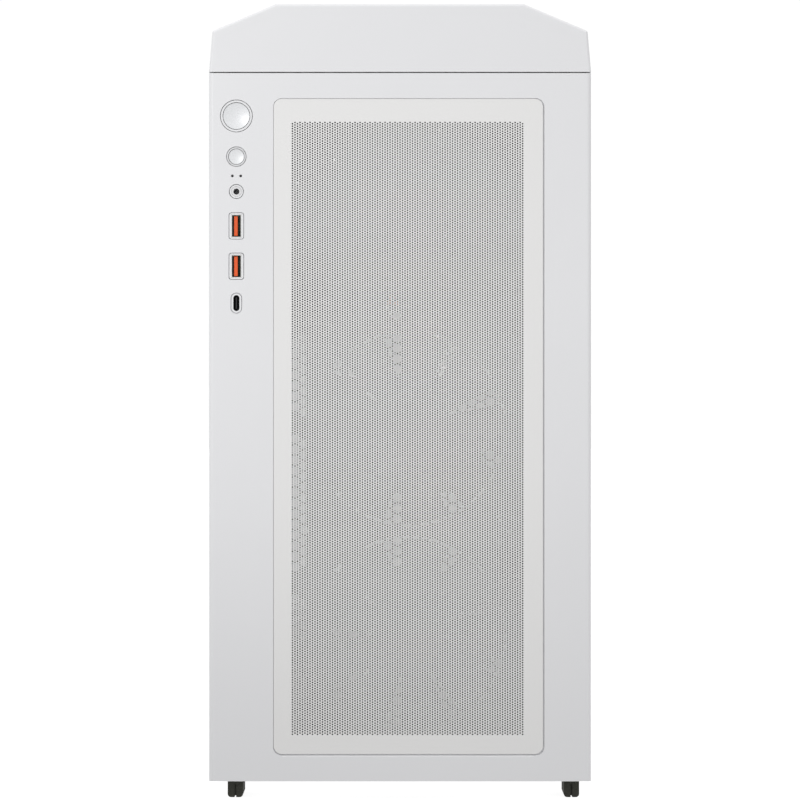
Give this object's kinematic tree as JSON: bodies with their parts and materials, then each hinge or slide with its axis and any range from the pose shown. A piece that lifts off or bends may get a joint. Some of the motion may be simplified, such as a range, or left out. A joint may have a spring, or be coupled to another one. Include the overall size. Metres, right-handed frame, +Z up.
{
  "type": "desktop computer tower",
  "caption": "Upright desktop computer case with a perforated front insert, front buttons and sockets, glass side, lift-off top cover, fans, board, cooler, card and power supply.",
  "frame": {"origin": "on the floor under the middle of the case", "axes": "+Z up, the front faces -Y, +X is to the right seen from the front"},
  "size_m": [0.22, 0.41, 0.458],
  "materials": {
    "bezel_plastic": "fine satin white",
    "mesh_paint": "white powder coat",
    "chassis_paint": "white powder coat",
    "glass": "smoked tempered glass, polished",
    "button_plastic": "pearl satin",
    "led_pipe": "clear light pipe",
    "foot_plastic": "black moulded",
    "rubber": "matt, finely ribbed",
    "screw_black": "black zinc",
    "screw_steel": "nickel plated",
    "filter_plastic": "black with fine nylon net",
    "jack_plastic": "white moulded",
    "port_shell": "plated steel",
    "port_tongue": "orange moulded",
    "port_black": "dark plated",
    "board_green": "solder mask",
    "board_black": "black solder mask",
    "fan_plastic": "black moulded",
    "rotor_plastic": "black moulded",
    "fan_screw": "black zinc",
    "socket_plastic": "black moulded",
    "heatsink": "anodised",
    "memory": "dark heat spreader",
    "brass": "turned",
    "copper": null,
    "cover_steel": "bare zinc steel",
    "card_shroud": "black moulded",
    "psu_paint": "black powder coat",
    "switch_plastic": "black moulded",
    "drive_metal": "cast",
    "lead_sleeve": "woven sleeve"
  },
  "bodies": {
    "chassis": {"base_pan": "chassis_paint", "rear_panel": "chassis_paint", "chassis_front": "chassis_paint", "top_frame": "chassis_paint", "motherboard_tray": "chassis_paint", "psu_shroud": "chassis_paint", "drive_cage": "chassis_paint", "hard_drive": "drive_metal", "foot_carriers": "foot_plastic", "foot_pads": "rubber", "io_module_housing": "bezel_plastic", "led_pipes": "led_pipe", "audio_jack": "jack_plastic", "usb_a_shells": "port_shell", "usb_a_tongues": "port_tongue", "usb_c_port": "port_black", "front_io_board": "board_green", "case_fan_frames": "fan_plastic", "fan_screws": "fan_screw", "slot_covers": "cover_steel", "case_screws": "screw_steel", "motherboard": "board_black", "board_standoffs": "brass", "board_sockets": "socket_plastic", "memory_modules": "memory", "board_heatsinks": "heatsink", "rear_io_ports": "port_shell", "cooler_heat_pipes": "copper", "cooler_fins": "heatsink", "cooler_fan_frame": "fan_plastic", "gpu_board": "board_black", "gpu_bracket": "cover_steel", "gpu_shroud": "card_shroud", "gpu_heatsink": "heatsink", "psu_housing": "psu_paint", "psu_inlet": "switch_plastic", "power_leads": "lead_sleeve"},
    "bezel": {"front_bezel": "bezel_plastic"},
    "mesh_insert": {"front_mesh_panel": "mesh_paint"},
    "cover": {"top_cover": "bezel_plastic"},
    "cover_insert": {"top_mesh_panel": "mesh_paint"},
    "left_panel": {"glass_panel": "glass", "glass_panel_frame": "chassis_paint"},
    "right_panel": {"right_side_panel": "chassis_paint"},
    "screw_ll": {"thumbscrew_left_lower": "screw_black"},
    "screw_lu": {"thumbscrew_left_upper": "screw_black"},
    "screw_rl": {"thumbscrew_right_lower": "screw_black"},
    "screw_ru": {"thumbscrew_right_upper": "screw_black"},
    "floor_filter": {"bottom_filter": "filter_plastic"},
    "power_cap": {"power_button": "button_plastic"},
    "reset_cap": {"reset_button": "button_plastic"},
    "front_rotor_lower": {"front_fan_rotor_lower": "rotor_plastic"},
    "front_rotor_middle": {"front_fan_rotor_middle": "rotor_plastic"},
    "front_rotor_upper": {"front_fan_rotor_upper": "rotor_plastic"},
    "rear_rotor": {"rear_fan_rotor": "rotor_plastic"},
    "cooler_rotor": {"cooler_fan_rotor": "rotor_plastic"},
    "card_rotor_front": {"gpu_fan_rotor_front": "rotor_plastic"},
    "card_rotor_rear": {"gpu_fan_rotor_rear": "rotor_plastic"},
    "supply_rotor": {"psu_fan_rotor": "rotor_plastic"},
    "rocker": {"psu_switch": "switch_plastic"}
  },
  "joints": [
    {"name": "bezel_pull", "type": "slide", "parent": "chassis", "child": "bezel", "axis": [0, -1, 0], "range_m": [0, 0.06]},
    {"name": "mesh_insert_pull", "type": "slide", "parent": "bezel", "child": "mesh_insert", "axis": [0, -1, 0], "range_m": [0, 0.03]},
    {"name": "cover_lift", "type": "slide", "parent": "chassis", "child": "cover", "axis": [0, 0, 1], "range_m": [0, 0.05]},
    {"name": "cover_insert_lift", "type": "slide", "parent": "cover", "child": "cover_insert", "axis": [0, 0, 1], "range_m": [0, 0.03]},
    {"name": "left_panel_slide", "type": "slide", "parent": "chassis", "child": "left_panel", "axis": [0, 1, 0], "range_m": [0, 0.38]},
    {"name": "right_panel_slide", "type": "slide", "parent": "chassis", "child": "right_panel", "axis": [0, 1, 0], "range_m": [0, 0.38]},
    {"name": "thumbscrew_turn_ll", "type": "hinge", "parent": "left_panel", "child": "screw_ll", "pos_m": [-0.1005, 0.2, 0.09], "axis": [0, 1, 0], "continuous": true},
    {"name": "thumbscrew_turn_lu", "type": "hinge", "parent": "left_panel", "child": "screw_lu", "pos_m": [-0.1005, 0.2, 0.34], "axis": [0, 1, 0], "continuous": true},
    {"name": "thumbscrew_turn_rl", "type": "hinge", "parent": "right_panel", "child": "screw_rl", "pos_m": [0.1005, 0.2, 0.09], "axis": [0, 1, 0], "continuous": true},
    {"name": "thumbscrew_turn_ru", "type": "hinge", "parent": "right_panel", "child": "screw_ru", "pos_m": [0.1005, 0.2, 0.34], "axis": [0, 1, 0], "continuous": true},
    {"name": "filter_pull", "type": "slide", "parent": "chassis", "child": "floor_filter", "axis": [0, 1, 0], "range_m": [0, 0.16]},
    {"name": "power_press", "type": "slide", "parent": "chassis", "child": "power_cap", "axis": [0, 1, 0], "range_m": [0, 0.0015], "stiffness_N_per_m": 900},
    {"name": "reset_press", "type": "slide", "parent": "chassis", "child": "reset_cap", "axis": [0, 1, 0], "range_m": [0, 0.0015], "stiffness_N_per_m": 700},
    {"name": "front_fan_spin_lower", "type": "hinge", "parent": "chassis", "child": "front_rotor_lower", "pos_m": [0.005, -0.155, 0.0935], "axis": [0, 1, 0], "continuous": true},
    {"name": "front_fan_spin_middle", "type": "hinge", "parent": "chassis", "child": "front_rotor_middle", "pos_m": [0.005, -0.155, 0.2135], "axis": [0, 1, 0], "continuous": true},
    {"name": "front_fan_spin_upper", "type": "hinge", "parent": "chassis", "child": "front_rotor_upper", "pos_m": [0.005, -0.155, 0.3335], "axis": [0, 1, 0], "continuous": true},
    {"name": "rear_fan_spin", "type": "hinge", "parent": "chassis", "child": "rear_rotor", "pos_m": [-0.037, 0.185, 0.345], "axis": [0, 1, 0], "continuous": true},
    {"name": "cooler_fan_spin", "type": "hinge", "parent": "chassis", "child": "cooler_rotor", "pos_m": [-0.0288, 0.0685, 0.33], "axis": [0, 1, 0], "continuous": true},
    {"name": "card_fan_spin_front", "type": "hinge", "parent": "chassis", "child": "card_rotor_front", "pos_m": [-0.003, -0.022, 0.18268], "axis": [0, 0, 1], "continuous": true},
    {"name": "card_fan_spin_rear", "type": "hinge", "parent": "chassis", "child": "card_rotor_rear", "pos_m": [-0.003, 0.108, 0.18268], "axis": [0, 0, 1], "continuous": true},
    {"name": "supply_fan_spin", "type": "hinge", "parent": "chassis", "child": "supply_rotor", "pos_m": [-0.0005, 0.1229, 0.027], "axis": [0, 0, 1], "continuous": true},
    {"name": "supply_switch", "type": "hinge", "parent": "chassis", "child": "rocker", "pos_m": [0.0385, 0.1955, 0.037], "axis": [1, 0, 0], "range_deg": [-5, 5]}
  ]
}
